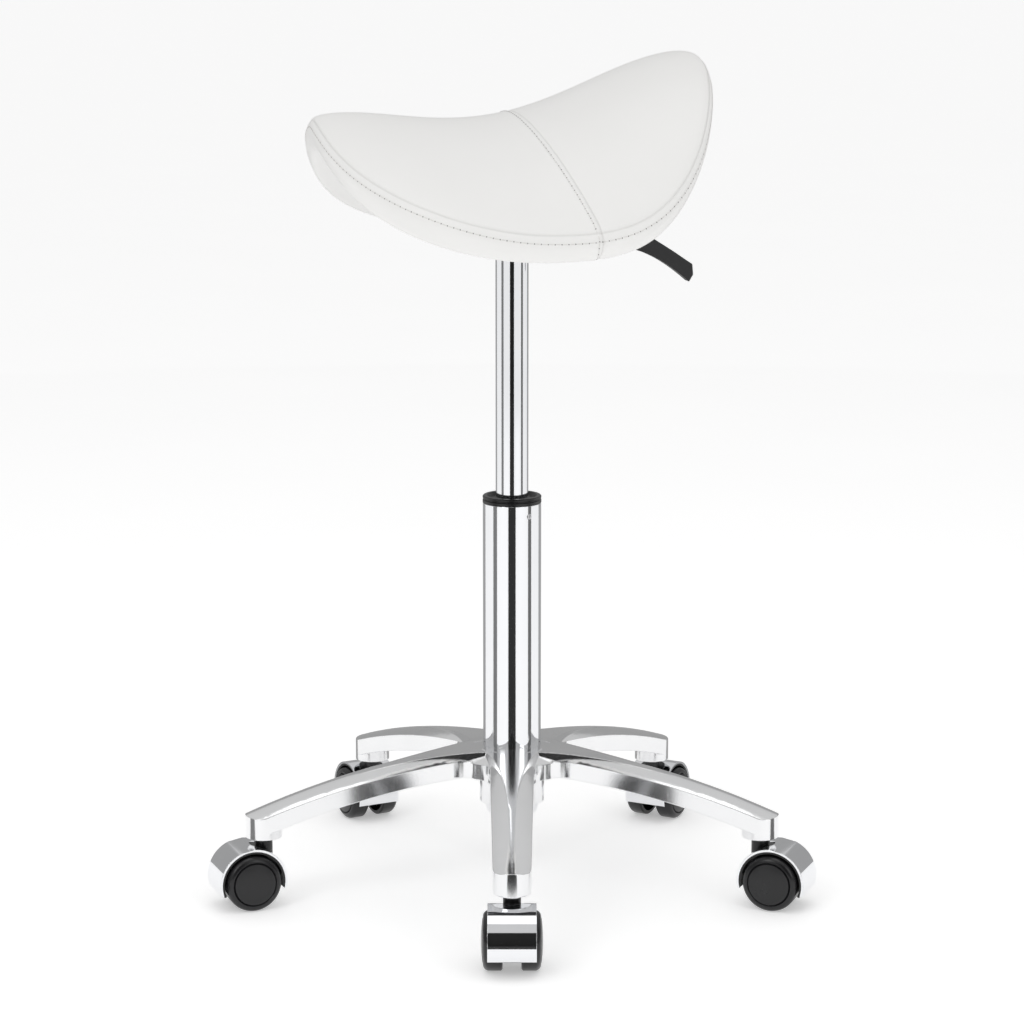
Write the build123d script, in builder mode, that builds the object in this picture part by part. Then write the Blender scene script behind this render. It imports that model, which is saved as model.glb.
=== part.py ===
from build123d import *
import math
import os

os.makedirs("parts", exist_ok=True)

# Saddle stool on a five-leg base with casters and a gas lift.
# Origin on the floor under the column axis, +Z up, the front of the seat towards -Y.

# ---- Driving dimensions, mm ----
leg_count = 5
first_leg = -12.5  # bearing of one leg from +X, degrees
leg_step = 360 / leg_count

# star base
stem_radius = 222.0  # column axis to a caster's swivel axis
leg_end_radius = 15.5
leg_taper = 0.02  # half width gained per mm towards the hub
leg_reach = stem_radius + leg_end_radius
crest_top = 122.0
crest_fall = 43.5  # how far the crest line drops out to the leg's end
leg_depth = 20.0  # crest line to the lower edge of the side wall
leg_crown = 5.5  # how far the top rounds off from crest to side
leg_wall = 3.2
leg_roof = 4.5
boss_bottom = 59.0
web_top = 114.5
web_bottom = 100.5
web_fillet = 25.0
web_reach = 62.0
hub_top = 121.3
hub_radius = 28.0
hub_bottom = 72.0
socket_radius = 5.55
socket_top = 80.5

# gas lift
column_radius = 25.0
column_bore = 23.5
column_top = 335.5
column_bottom = 62.0
taper_start = 112.0
taper_slope = 0.0252  # radius lost per mm, the usual 1.44 degree lift taper
collar_height = 6.0
tube_radius = 14.0
tube_bore = 12.3
tube_bottom = 285.0
tube_top = 590.0
cone_start = 550.0
rod_radius = 5.0
rod_neck_radius = 4.0
rod_top = 322.0
running_gap = 0.05

# casters
wheel_radius = 24.0
axle_height = wheel_radius
trail = 15.0
axle_radius = 3.0
tread_inner = 7.5
tread_outer = 20.9
wheel_face = 24.8
hood_radius = 29.5
hood_thickness = 2.0
hood_half_width = 19.5
lining_thickness = 1.8
neck_radius = 7.3
neck_top = 58.4
stem_body_radius = 5.45
stem_top = 79.6
stem_groove = (72.0, 75.2)  # heights that the grip ring sits between
stem_groove_radius = 4.4
# how far each caster is turned from pointing straight outwards, degrees
caster_turns = (0.0, -4.0, 8.0, -8.0, 4.0)

# seat
seat_half_width = 188.5
seat_front = 178.0
seat_rear = 149.5
seat_shift = 6.5  # the widest line lies behind the column axis
seat_unit = 180.0  # length that the profile formulas count in
rim_depth = 23.0
pad_depth = 48.0
rim_top_round = 6.0
rim_under_round = 8.0
board_depth = 9.0
board_inset = 14.0
mount_level = 606.0  # flat underside of the seat board's platform
plate_thickness = 2.5
channel_bottom = 575.5
lever_level = 598.0
lever_pivot_y = 34.0
lever_rod_radius = 4.0
bolt_x = 58.0
bolt_y = 38.0


def lift_radius(height):
    """Outside radius of the column: straight, then the slow taper that wedges in the hub."""
    return column_radius - max(0.0, taper_start - height) * taper_slope


def crest(reach):
    """Height of a leg's crest line at a distance from the column axis."""
    return crest_top - crest_fall * (reach / leg_reach) ** 2


def leg_half_width(reach):
    return leg_end_radius + (stem_radius - reach) * leg_taper


def across_leg(reach):
    """Plane square to a leg lying along +X: local x is sideways and local y is up."""
    return Plane(origin=(reach, 0, 0), x_dir=(0, 1, 0), z_dir=(1, 0, 0))


def crowned_face(side, low, edge, top):
    """Box section with an arched top, for one station of a leg."""
    with BuildLine() as outline:
        Polyline((-side, edge), (-side, low), (side, low), (side, edge))
        ThreePointArc((side, edge), (0, top), (-side, edge))
    make_face(outline.edges())


def add_legs(leg_part, mode=Mode.ADD):
    """Put one copy of a shape, made along +X, on each leg's bearing."""
    with PolarLocations(0, leg_count, start_angle=first_leg):
        add(leg_part, mode=mode)


# ---- star base: polished die casting, hollow underneath ----
overlap = 4.0  # the lofted blanks run this far past the plan outline that trims them

with BuildPart() as leg_blank:
    for reach in (0, 60, 115, 165, 205, 246):
        side = leg_half_width(reach) + overlap
        drop = leg_crown * (side / leg_half_width(reach)) ** 2
        with BuildSketch(across_leg(reach)):
            crowned_face(side, crest(reach) - leg_depth, crest(reach) - drop, crest(reach))
    loft()
    with BuildSketch(Plane.XY.offset(50)):
        hub_side = leg_half_width(0)
        Polygon(
            (0, -hub_side),
            (stem_radius, -leg_end_radius),
            (stem_radius, leg_end_radius),
            (0, hub_side),
            align=None,
        )
        with Locations((stem_radius, 0)):
            Circle(leg_end_radius)
    extrude(amount=100, mode=Mode.INTERSECT)
    # the boss that takes the caster's stem
    with BuildSketch(Plane.XY.offset(boss_bottom)):
        with Locations((stem_radius, 0)):
            Circle(leg_end_radius)
    extrude(amount=10)

# The rib on top of each leg: as wide as the column at the hub, running out to nothing.
rib_start = 20.0
rib_end = 170.0
rib_half = 26.0
rib_decay = 58.0
rib_raise = 0.7

with BuildPart() as leg_rib:
    for reach in (rib_start, 57, 92, 128, rib_end):
        half = rib_half * math.exp(-(reach - rib_start) / rib_decay)
        lift = rib_raise * (1 - 1.4 * (reach - rib_start) / (rib_end - rib_start))
        with BuildSketch(across_leg(reach)):
            with BuildLine():
                Polyline(
                    (-half - 4.5, crest(reach) - 9),
                    (half + 4.5, crest(reach) - 9),
                    (half, crest(reach) + lift),
                    (-half, crest(reach) + lift),
                    close=True,
                )
            make_face()
    loft()

# The space under a leg, divided by one long rib and two cross ribs.
pocket_start = 38.0
pocket_end = 203.0

with BuildPart() as leg_pocket:
    for reach in (pocket_start, 80, 120, 162, pocket_end):
        side = leg_half_width(reach) - leg_wall
        top = crest(reach) - leg_roof
        with BuildSketch(across_leg(reach)):
            crowned_face(side, crest(reach) - leg_depth - 8, top - 3.5, top)
    loft()
    with Locations(((pocket_start + pocket_end) / 2, 0, 95)):
        Box(pocket_end - pocket_start + 2, 2.4, 80, mode=Mode.SUBTRACT)
    for reach in (92.0, 148.0):
        with Locations((reach, 0, 95)):
            Box(2.4, 60, 80, mode=Mode.SUBTRACT)

with BuildPart() as star_base:
    # webs that round off the corners between the legs
    with BuildSketch(Plane.XY.offset(web_bottom)) as web:
        with PolarLocations(0, leg_count, start_angle=first_leg):
            Polygon(
                (0, -leg_half_width(0)),
                (web_reach + 30, -leg_half_width(web_reach + 30)),
                (web_reach + 30, leg_half_width(web_reach + 30)),
                (0, leg_half_width(0)),
                align=None,
            )
        fillet(web.vertices().sort_by_distance((0, 0, web_bottom))[:leg_count], web_fillet)
        Circle(web_reach, mode=Mode.INTERSECT)
    extrude(amount=web_top - web_bottom)
    # hub: a low cone on top, a skirt round the column below
    with BuildSketch(Plane.XZ):
        with BuildLine():
            Polyline((0, web_bottom), (0, hub_top), (29, hub_top))
            Spline((29, hub_top), (40, hub_top - 3.2), (51, web_top - 0.4), tangents=[(1, 0), (1, -0.35)])
            Polyline((51, web_top - 0.4), (51, web_bottom), (0, web_bottom))
        make_face()
    revolve(axis=Axis.Z)
    with BuildSketch(Plane.XY.offset(hub_bottom)):
        Circle(hub_radius)
    extrude(amount=web_bottom - hub_bottom)
    add_legs(leg_blank.part)
    add_legs(leg_rib.part)
    add_legs(leg_pocket.part, Mode.SUBTRACT)
    # tapered seat of the column
    with BuildSketch(Plane.XZ):
        with BuildLine():
            Polyline(
                (0, hub_bottom - 5),
                (lift_radius(hub_bottom - 5), hub_bottom - 5),
                (column_radius, taper_start),
                (column_radius, crest_top + 10),
                (0, crest_top + 10),
                close=True,
            )
        make_face()
    revolve(axis=Axis.Z, mode=Mode.SUBTRACT)
    # stem sockets
    with BuildSketch(Plane.XY.offset(boss_bottom)):
        with PolarLocations(stem_radius, leg_count, start_angle=first_leg):
            Circle(socket_radius)
    extrude(amount=socket_top - boss_bottom, mode=Mode.SUBTRACT)
star_base.part.label = "star_base"
export_step(star_base.part, "parts/star_base.step")

# ---- column: chromed steel tube, wedged in the hub, closed below by a pressed cup ----
cup_radius = 21.5
cup_inside = 67.0

with BuildPart() as column_tube:
    with BuildSketch(Plane.XZ):
        with BuildLine():
            Polyline(
                (column_bore, column_top),
                (column_radius, column_top),
                (column_radius, taper_start),
                (lift_radius(71), 71),
                (cup_radius + 0.7, 64.5),
                (cup_radius, column_bottom),
                (rod_neck_radius + running_gap, column_bottom),
                (rod_neck_radius + running_gap, cup_inside),
                (20.0, cup_inside),
                (lift_radius(71) - 1.5, 71),
                (column_bore, taper_start),
                close=True,
            )
        make_face()
    revolve(axis=Axis.Z)
    rim = column_tube.edges().filter_by(GeomType.CIRCLE).group_by(Axis.Z)[-1]
    chamfer(rim.sort_by(SortBy.RADIUS)[-1], 0.6)

# ---- guide bush: plastic liner with the collar that caps the column ----
bush_bottom = 276.0
collar_top = column_top + collar_height

with BuildPart() as guide_bush:
    bush_bore = tube_radius + running_gap
    with BuildSketch(Plane.XZ):
        with BuildLine():
            Polyline(
                (bush_bore, bush_bottom),
                (column_bore, bush_bottom),
                (column_bore, column_top),
                (25.2, column_top),
                (25.2, column_top + 2.2),
                (24.3, column_top + 2.8),
                (24.3, column_top + 3.4),
                (25.2, column_top + 4.0),
                (25.2, collar_top - 0.8),
                (24.4, collar_top),
                (21.6, collar_top),
                (19.8, collar_top - 2.4),
                (16.2, collar_top - 2.4),
                (bush_bore, collar_top - 1.2),
                close=True,
            )
        make_face()
    revolve(axis=Axis.Z)
    # long grooves that hold the grease and let the liner flex
    with BuildSketch(Plane.XY.offset(bush_bottom)):
        with PolarLocations(column_bore, 8):
            Rectangle(4.0, 3.0)
    extrude(amount=column_top - bush_bottom - 12, mode=Mode.SUBTRACT)

# ---- rivet that keeps the bush in the column, through a hole in each ----
rivet_bearing = 23.5
rivet_level = 326.0

with BuildPart() as bush_rivet:
    with BuildSketch(Plane.XY):
        with BuildLine():
            Polyline((21.8, 0), (21.8, 1.2), (24.8, 1.2), (24.8, 2.4))
            ThreePointArc((24.8, 2.4), (25.45, 1.6), (25.7, 0.6))
            Polyline((25.7, 0.6), (25.7, 0), (21.8, 0))
        make_face()
    revolve(axis=Axis.X)
rivet_place = Location((0, 0, rivet_level), (0, 0, rivet_bearing))
rivet_part = rivet_place * bush_rivet.part
rivet_part.label = "bush_rivet"
export_step(rivet_part, "parts/bush_rivet.step")

for holed, label in ((guide_bush, "guide_bush"), (column_tube, "column_tube")):
    with holed:
        add(rivet_part, mode=Mode.SUBTRACT)
    holed.part.label = label
    export_step(holed.part, f"parts/{label}.step")


def ring(inner, outer, bottom, top, label):
    """Plain washer, race or clip round the column axis."""
    with BuildPart() as washer:
        with BuildSketch(Plane.XY.offset(bottom)):
            Circle(outer)
            Circle(inner, mode=Mode.SUBTRACT)
        extrude(amount=top - bottom)
    washer.part.label = label
    export_step(washer.part, f"parts/{label}.step")


# ---- thrust bearing that carries the seat's swivel ----
race_height = 1.6
ball_radius = 1.5
ball_ring = 9.5
ball_count = 10
lower_race_top = cup_inside + race_height
upper_race_bottom = lower_race_top + 2 * ball_radius + running_gap
upper_race_top = upper_race_bottom + race_height
thrust_washer_top = upper_race_top + 1.0
buffer_top = thrust_washer_top + 11.0

ring(6.0, 14.0, cup_inside, lower_race_top, "lower_race")
ring(rod_neck_radius, 14.0, upper_race_bottom, upper_race_top, "upper_race")
ring(rod_neck_radius, 12.5, upper_race_top, thrust_washer_top, "thrust_washer")

with BuildPart() as ball_cage:
    with BuildSketch(Plane.XY.offset(lower_race_top + 1.0)):
        Circle(12.5)
        Circle(6.6, mode=Mode.SUBTRACT)
    extrude(amount=1.0)
    with PolarLocations(ball_ring, ball_count):
        with Locations((0, 0, lower_race_top + ball_radius)):
            Sphere(ball_radius)
ball_cage.part.label = "ball_cage"
export_step(ball_cage.part, "parts/ball_cage.step")

# ---- rubber buffer: softens the lift's lowest stop ----
with BuildPart() as rubber_buffer:
    with BuildSketch(Plane.XZ):
        with BuildLine():
            Polyline(
                (rod_radius, thrust_washer_top),
                (12.0, thrust_washer_top),
                (15.0, thrust_washer_top + 3),
                (13.0, thrust_washer_top + 6),
                (14.0, thrust_washer_top + 9),
                (11.0, buffer_top),
                (rod_radius, buffer_top),
                close=True,
            )
        make_face()
    revolve(axis=Axis.Z)
rubber_buffer.part.label = "rubber_buffer"
export_step(rubber_buffer.part, "parts/rubber_buffer.step")

# ---- piston rod, with its clip under the cup ----
rod_bottom = 58.5
piston_bottom = 306.0
piston_top = 319.0
clip_top = column_bottom - 0.1
clip_bottom = clip_top - 1.4
clip_groove = 3.2

with BuildPart() as piston_rod:
    with BuildSketch(Plane.XZ):
        with BuildLine():
            Polyline(
                (0, rod_bottom),
                (rod_neck_radius - 0.6, rod_bottom),
                (rod_neck_radius, rod_bottom + 0.6),
                (rod_neck_radius, clip_bottom),
                (clip_groove, clip_bottom),
                (clip_groove, clip_top),
                (rod_neck_radius, clip_top),
                (rod_neck_radius, thrust_washer_top),
                (rod_radius, thrust_washer_top),
                (rod_radius, piston_bottom),
                (rod_neck_radius, piston_bottom),
                (rod_neck_radius, rod_top),
                (0, rod_top),
                close=True,
            )
        make_face()
    revolve(axis=Axis.Z)
piston_rod.part.label = "piston_rod"
export_step(piston_rod.part, "parts/piston_rod.step")

with BuildPart() as rod_clip:
    with BuildSketch(Plane.XY.offset(clip_bottom)):
        Circle(9.0)
        Circle(clip_groove, mode=Mode.SUBTRACT)
        with Locations((8, 0)):
            Rectangle(12, 3.0, mode=Mode.SUBTRACT)
        with PolarLocations(6.8, 2, start_angle=35, angular_range=290, endpoint=True):
            Circle(0.9, mode=Mode.SUBTRACT)
    extrude(amount=clip_top - clip_bottom)
rod_clip.part.label = "rod_clip"
export_step(rod_clip.part, "parts/rod_clip.step")

# ---- piston and its seal, at the rod's top inside the pressure tube ----
piston_radius = tube_bore - 0.1
seal_radius = 10.2
seal_bottom = 310.5
seal_top = 314.5

with BuildPart() as piston:
    with BuildSketch(Plane.XZ):
        with BuildLine():
            Polyline(
                (rod_neck_radius, piston_bottom),
                (piston_radius, piston_bottom),
                (piston_radius, seal_bottom),
                (seal_radius, seal_bottom),
                (seal_radius, seal_top),
                (piston_radius, seal_top),
                (piston_radius, piston_top),
                (rod_neck_radius, piston_top),
                close=True,
            )
        make_face()
    revolve(axis=Axis.Z)
piston.part.label = "piston"
export_step(piston.part, "parts/piston.step")

ring(seal_radius, tube_bore - running_gap, seal_bottom, seal_top, "piston_seal")

# ---- pressure tube: the chromed inner tube, tapered at its top end ----
cone_top_radius = tube_radius - (tube_top - cone_start) * taper_slope
valve_bottom = 548.0
valve_radius = 11.2
pin_bore_bottom = 556.0
pin_bottom = 562.0
pin_radius = 4.0

with BuildPart() as pressure_tube:
    with BuildSketch(Plane.XZ):
        with BuildLine():
            Polyline(
                (tube_bore, tube_bottom + 1.4),
                (11.6, tube_bottom),
                (tube_radius - 0.8, tube_bottom),
                (tube_radius, tube_bottom + 0.8),
                (tube_radius, cone_start),
                (cone_top_radius, tube_top - 0.8),
                (cone_top_radius - 0.8, tube_top),
                (valve_radius, tube_top),
                (valve_radius, valve_bottom),
                (tube_bore, valve_bottom - 3),
                close=True,
            )
        make_face()
    revolve(axis=Axis.Z)
pressure_tube.part.label = "pressure_tube"
export_step(pressure_tube.part, "parts/pressure_tube.step")

ring(rod_radius + running_gap, tube_bore, tube_bottom + 1.5, 303.0, "rod_gland")

# ---- valve body, and the pin that the lever pushes down ----
with BuildPart() as valve_body:
    with BuildSketch(Plane.XZ):
        with BuildLine():
            Polyline(
                (0, valve_bottom),
                (valve_radius, valve_bottom),
                (valve_radius, tube_top - 1),
                (pin_radius + running_gap, tube_top - 1),
                (pin_radius + running_gap, pin_bore_bottom),
                (0, pin_bore_bottom),
                close=True,
            )
        make_face()
    revolve(axis=Axis.Z)
valve_body.part.label = "valve_body"
export_step(valve_body.part, "parts/valve_body.step")

pin_gap = 0.12  # lever rod to pin, left so that the tilted rod clears the pin's rim
pin_top = lever_level - lever_rod_radius - pin_gap

with BuildPart() as release_pin:
    with BuildSketch(Plane.XZ):
        with BuildLine():
            Polyline((1.0, pin_top), (0, pin_top), (0, pin_bottom), (pin_radius, pin_bottom), (pin_radius, pin_top - 1.6))
            ThreePointArc((pin_radius, pin_top - 1.6), (2.7, pin_top - 0.5), (1.0, pin_top))
        make_face()
    revolve(axis=Axis.Z)
release_pin.part.label = "release_pin"
export_step(release_pin.part, "parts/release_pin.step")

# ---- mounting plate: pressed steel with a channel for the lever ----
plate_x = 148.0
plate_y = 104.0
channel_half = 21.0
channel_front = -34.0
channel_rear = 46.0
channel_wall = 2.5

with BuildPart() as mounting_plate:
    with BuildSketch(Plane.XY.offset(mount_level - plate_thickness)):
        RectangleRounded(plate_x, plate_y, 14)
    extrude(amount=plate_thickness)
    channel_mid = (channel_front + channel_rear) / 2
    channel_length = channel_rear - channel_front
    with BuildSketch(Plane.XY.offset(channel_bottom)):
        with Locations((0, channel_mid)):
            RectangleRounded(2 * channel_half, channel_length, 8)
    extrude(amount=mount_level - channel_bottom)
    with BuildSketch(Plane.XY.offset(channel_bottom + channel_wall)):
        with Locations((0, channel_mid)):
            RectangleRounded(2 * (channel_half - channel_wall), channel_length - 2 * channel_wall, 5.5)
    extrude(amount=mount_level - channel_bottom, mode=Mode.SUBTRACT)
    # stiffening beads pressed beside the channel
    with BuildSketch(Plane.XY.offset(mount_level - plate_thickness - 1.6)):
        with Locations((36, 0), (-36, 0)):
            SlotOverall(64, 9, rotation=90)
    extrude(amount=1.6, taper=30)
    # notch that the lever leaves by, and the bores of its pivot pin
    with Locations((0, channel_rear - channel_wall / 2, lever_level + 1)):
        Box(12, 3 * channel_wall, 18, mode=Mode.SUBTRACT)
    with BuildSketch(Plane.YZ.offset(-channel_half - 1)):
        with Locations((lever_pivot_y, lever_level)):
            Circle(2.0)
    extrude(amount=2 * channel_half + 2, mode=Mode.SUBTRACT)
    # holes for the lift's cone socket and the four bolts
    with Locations((0, 0, channel_bottom + channel_wall)):
        Hole(17.5, depth=10)
    with BuildSketch(Plane.XY.offset(mount_level - 10)):
        with Locations((bolt_x, bolt_y), (-bolt_x, bolt_y), (bolt_x, -bolt_y), (-bolt_x, -bolt_y)):
            Circle(3.3)
    extrude(amount=20, mode=Mode.SUBTRACT)
mounting_plate.part.label = "mounting_plate"
export_step(mounting_plate.part, "parts/mounting_plate.step")

# ---- cone socket: welded in the plate, wedges on the pressure tube ----
socket_bottom = 551.0
socket_end = 586.0


def cone_radius(height):
    return tube_radius - max(0.0, height - cone_start) * taper_slope


with BuildPart() as cone_socket:
    with BuildSketch(Plane.XZ):
        with BuildLine():
            Polyline(
                (cone_radius(socket_bottom), socket_bottom),
                (16.6, socket_bottom),
                (17.5, socket_bottom + 1.2),
                (17.5, socket_end - 1),
                (16.8, socket_end),
                (cone_radius(socket_end), socket_end),
                close=True,
            )
        make_face()
    revolve(axis=Axis.Z)
cone_socket.part.label = "cone_socket"
export_step(cone_socket.part, "parts/cone_socket.step")

# ---- lever: bent steel rod, pivoted in the channel, with a moulded blade ----
rod_bend = (56.0, lever_level)
rod_end = (94.0, 570.4)

with BuildPart() as lever_rod:
    with BuildLine(Plane.YZ) as rod_path:
        FilletPolyline((-5.5, lever_level), rod_bend, rod_end, radius=26)
    with BuildSketch(Plane(origin=(0, -5.5, lever_level), z_dir=(0, 1, 0))):
        Circle(lever_rod_radius)
    sweep(path=rod_path.line)
    with BuildSketch(Plane.YZ.offset(-8)):
        with Locations((lever_pivot_y, lever_level)):
            Circle(2.0 + running_gap)
    extrude(amount=16, mode=Mode.SUBTRACT)
lever_rod.part.label = "lever_rod"
export_step(lever_rod.part, "parts/lever_rod.step")

with BuildPart() as lever_pin:
    with BuildSketch(Plane.YZ.offset(-channel_half - 1)):
        with Locations((lever_pivot_y, lever_level)):
            Circle(2.0)
    extrude(amount=2 * channel_half + 2)
lever_pin.part.label = "lever_pin"
export_step(lever_pin.part, "parts/lever_pin.step")

blade_width = 15.0

with BuildPart() as lever_handle:
    with BuildSketch(Plane.YZ):
        with BuildLine():
            Line((62.0, 581.2), (106.0, 549.6))
            Spline((106.0, 549.6), (129.0, 539.6), (145.0, 528.6), (153.5, 521.6))
            Polyline((153.5, 521.6), (157.0, 527.5), (156.2, 536.6))
            Spline((156.2, 536.6), (140.0, 547.4), (123.5, 557.8), (71.0, 596.0), tangents=[(-1, 0.62), (-1, 0.73)])
            Line((71.0, 596.0), (62.0, 581.2))
        make_face()
    extrude(amount=blade_width / 2, both=True)
    fillet(lever_handle.edges().filter_by(Axis.X).sort_by(Axis.Y)[-3:], 1.6)
    sides = lever_handle.faces().filter_by(Axis.X)
    chamfer(sides.edges(), 0.9)
    add(lever_rod.part, mode=Mode.SUBTRACT)
lever_handle.part.label = "lever_handle"
export_step(lever_handle.part, "parts/lever_handle.step")

# ---- bolts, washers and tee nuts that hold the plate to the seat board ----
bolt_spots = ((bolt_x, bolt_y), (-bolt_x, bolt_y), (bolt_x, -bolt_y), (-bolt_x, -bolt_y))
plate_under = mount_level - plate_thickness
washer_height = 1.4
nut_top = mount_level + 6.0

with BuildPart() as plate_washers:
    with BuildSketch(Plane.XY.offset(plate_under - washer_height)):
        with Locations(*bolt_spots):
            Circle(7.5)
            Circle(3.0, mode=Mode.SUBTRACT)
    extrude(amount=washer_height)
plate_washers.part.label = "plate_washers"
export_step(plate_washers.part, "parts/plate_washers.step")

with BuildPart() as plate_bolts:
    head_top = plate_under - washer_height
    with BuildSketch(Plane.XY.offset(head_top - 4.2)):
        with Locations(*bolt_spots):
            RegularPolygon(5.6, 6)
    extrude(amount=4.2)
    with BuildSketch(Plane.XY.offset(head_top)):
        with Locations(*bolt_spots):
            Circle(3.0)
    extrude(amount=nut_top + 1 - head_top)
    with BuildSketch(Plane.XY.offset(head_top - 4.2)):
        with Locations(*bolt_spots):
            RegularPolygon(2.6, 6)
    extrude(amount=2.8, mode=Mode.SUBTRACT)
plate_bolts.part.label = "plate_bolts"
export_step(plate_bolts.part, "parts/plate_bolts.step")

with BuildPart() as tee_nuts:
    with BuildSketch(Plane.XY.offset(mount_level + 0.4)):
        with Locations(*bolt_spots):
            Circle(4.6)
    extrude(amount=nut_top - mount_level - 0.4)
    with BuildSketch(Plane.XY.offset(nut_top)):
        with Locations(*bolt_spots):
            Circle(9.0)
    extrude(amount=1.3)
    with BuildSketch(Plane.XY.offset(mount_level)):
        with Locations(*bolt_spots):
            Circle(3.0)
    extrude(amount=20, mode=Mode.SUBTRACT)
tee_nuts.part.label = "tee_nuts"
export_step(tee_nuts.part, "parts/tee_nuts.step")


# ---- seat: saddle-shaped pad on a moulded board ----
def seat_top(x, y):
    """Height of the saddle: a ridge line along Y that the sides fall away from."""
    s = (y - seat_shift) / seat_unit
    ridge = 669.4 + 44.9 * s + 69.7 * s**2 - 22.4 * s**3 - 53.1 * s**4
    fall = 90.4 + 27.4 * s + 47.3 * s**2 - 15.7 * s**3
    return ridge - fall * (abs(x) / seat_half_width) ** (2.0 + 0.46 * s)


def seat_depth(x, y):
    """Depth of the pad with its board: full in the middle, down to the side band at the rim."""
    along = (y - seat_shift + 14) / 172
    across = x / seat_half_width
    return rim_depth + (pad_depth - rim_depth) * max(0, 1 - across**2) * max(0, 1 - along**2)


def seat_outline(inset):
    """Plan of the seat as a closed smooth curve, the same distance inside all round."""
    points = []
    for step in range(32):
        turn = 2 * math.pi * step / 32
        c, s = math.cos(turn), math.sin(turn)
        power = 2 / (2.56 if s > 0 else 2.39)
        length = (seat_rear if s > 0 else seat_front) - inset
        y = length * math.copysign(abs(s) ** power, s)
        x = (seat_half_width - inset) * math.copysign(abs(c) ** power, c) * (1 + 0.0787 * y / seat_unit)
        points.append((x, y + seat_shift))
    with BuildLine() as outline:
        Spline(*points, periodic=True)
    make_face(outline.edges())


def seat_slab(depth_from, depth_to, inset):
    """Layer of the seat between two depths; a depth runs from 0, the top skin, to 1, the underside,
    plus so many mm."""
    stations = (-184, -150, -105, -55, 0, 50, 95, 135, 170)
    widths = (-1.06, -0.8, -0.5, -0.22, 0, 0.22, 0.5, 0.8, 1.06)

    def level(x, y, depth):
        share, extra = depth
        return seat_top(x, y) - share * seat_depth(x, y) - extra

    with BuildPart() as slab:
        for y in stations:
            xs = [share * seat_half_width for share in widths]
            upper = [(x, level(x, y, depth_from)) for x in xs]
            lower = [(x, level(x, y, depth_to)) for x in xs]
            with BuildSketch(Plane(origin=(0, y, 0), x_dir=(1, 0, 0), z_dir=(0, -1, 0))):
                with BuildLine():
                    Spline(*upper)
                    Line(upper[-1], lower[-1])
                    Spline(*reversed(lower))
                    Line(lower[0], upper[0])
                make_face()
        loft()
        with BuildSketch(Plane.XY.offset(450)):
            seat_outline(inset)
        extrude(amount=350, mode=Mode.INTERSECT)
    return slab.part


# board: curved shell with a flat platform under it that the plate bolts to
with BuildPart() as seat_board:
    add(seat_slab((1, -board_depth), (1, 0), board_inset))
    with BuildSketch(Plane.XY.offset(mount_level)):
        RectangleRounded(plate_x - 4, plate_y - 4, 12)
        RectangleRounded(plate_x - 12, plate_y - 12, 9, mode=Mode.SUBTRACT)
        with Locations(*bolt_spots):
            Circle(13)
        RectangleRounded(plate_x - 4, plate_y - 4, 12, mode=Mode.INTERSECT)
    extrude(amount=60)
    # nothing of the platform stands above the shell
    add(seat_slab((1, -board_depth - 80), (1, -board_depth), -2), mode=Mode.SUBTRACT)
    with BuildSketch(Plane.XY.offset(mount_level)):
        with Locations(*bolt_spots):
            Circle(4.6)
    extrude(amount=nut_top - mount_level, mode=Mode.SUBTRACT)
    with BuildSketch(Plane.XY.offset(nut_top)):
        with Locations(*bolt_spots):
            Circle(9.0)
    extrude(amount=2.2, mode=Mode.SUBTRACT)
seat_board.part.label = "seat_board"
export_step(seat_board.part, "parts/seat_board.step")

# pad: foam in its cover, wrapped round the board's edge
with BuildPart() as seat_cushion:
    add(seat_slab((0, 0), (1, 0), 0))
    rims = [edge for edge in seat_cushion.edges() if edge.length > 4 * seat_front]
    fillet(min(rims, key=lambda edge: edge.center().Z), rim_under_round)
    rims = [edge for edge in seat_cushion.edges() if edge.length > 4 * seat_front]
    fillet(max(rims, key=lambda edge: edge.center().Z), rim_top_round)
    add(seat_slab((1, -board_depth - 0.3), (1, 20), board_inset - 0.3), mode=Mode.SUBTRACT)
seat_cushion.part.label = "seat_cushion"
export_step(seat_cushion.part, "parts/seat_cushion.step")

# dust cover: thin cloth stapled over the underside, open round the platform
with BuildPart() as dust_cover:
    add(seat_slab((1, 0.3), (1, 1.1), board_inset - 6))
    with BuildSketch(Plane.XY.offset(500)):
        RectangleRounded(plate_x + 6, plate_y + 6, 14)
    extrude(amount=250, mode=Mode.SUBTRACT)
dust_cover.part.label = "dust_cover"
export_step(dust_cover.part, "parts/dust_cover.step")

# ---- casters: hooded twin wheels, modelled with the stem on Z and the wheels trailing to +X ----
hood_inner = hood_radius - hood_thickness
lip_angle = -17.0
crease_angle = 68.0
facet_end = 92.0
tip_angle = 192.0


def polar(radius, angle):
    """Point on a circle round the axle, in the caster's side view."""
    turn = math.radians(angle)
    return (trail + radius * math.cos(turn), axle_height + radius * math.sin(turn))


def arch(inner, outer, start, end, half_width):
    """Part of a ring round the axle, as wide as the caster's hood."""
    with BuildSketch(Plane.XZ) as side_view:
        with BuildLine():
            ThreePointArc(polar(outer, start), polar(outer, (start + end) / 2), polar(outer, end))
            Line(polar(outer, end), polar(inner, end))
            ThreePointArc(polar(inner, end), polar(inner, (start + end) / 2), polar(inner, start))
            Line(polar(inner, start), polar(outer, start))
        make_face()
    extrude(side_view.sketch, amount=half_width, both=True)


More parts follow.
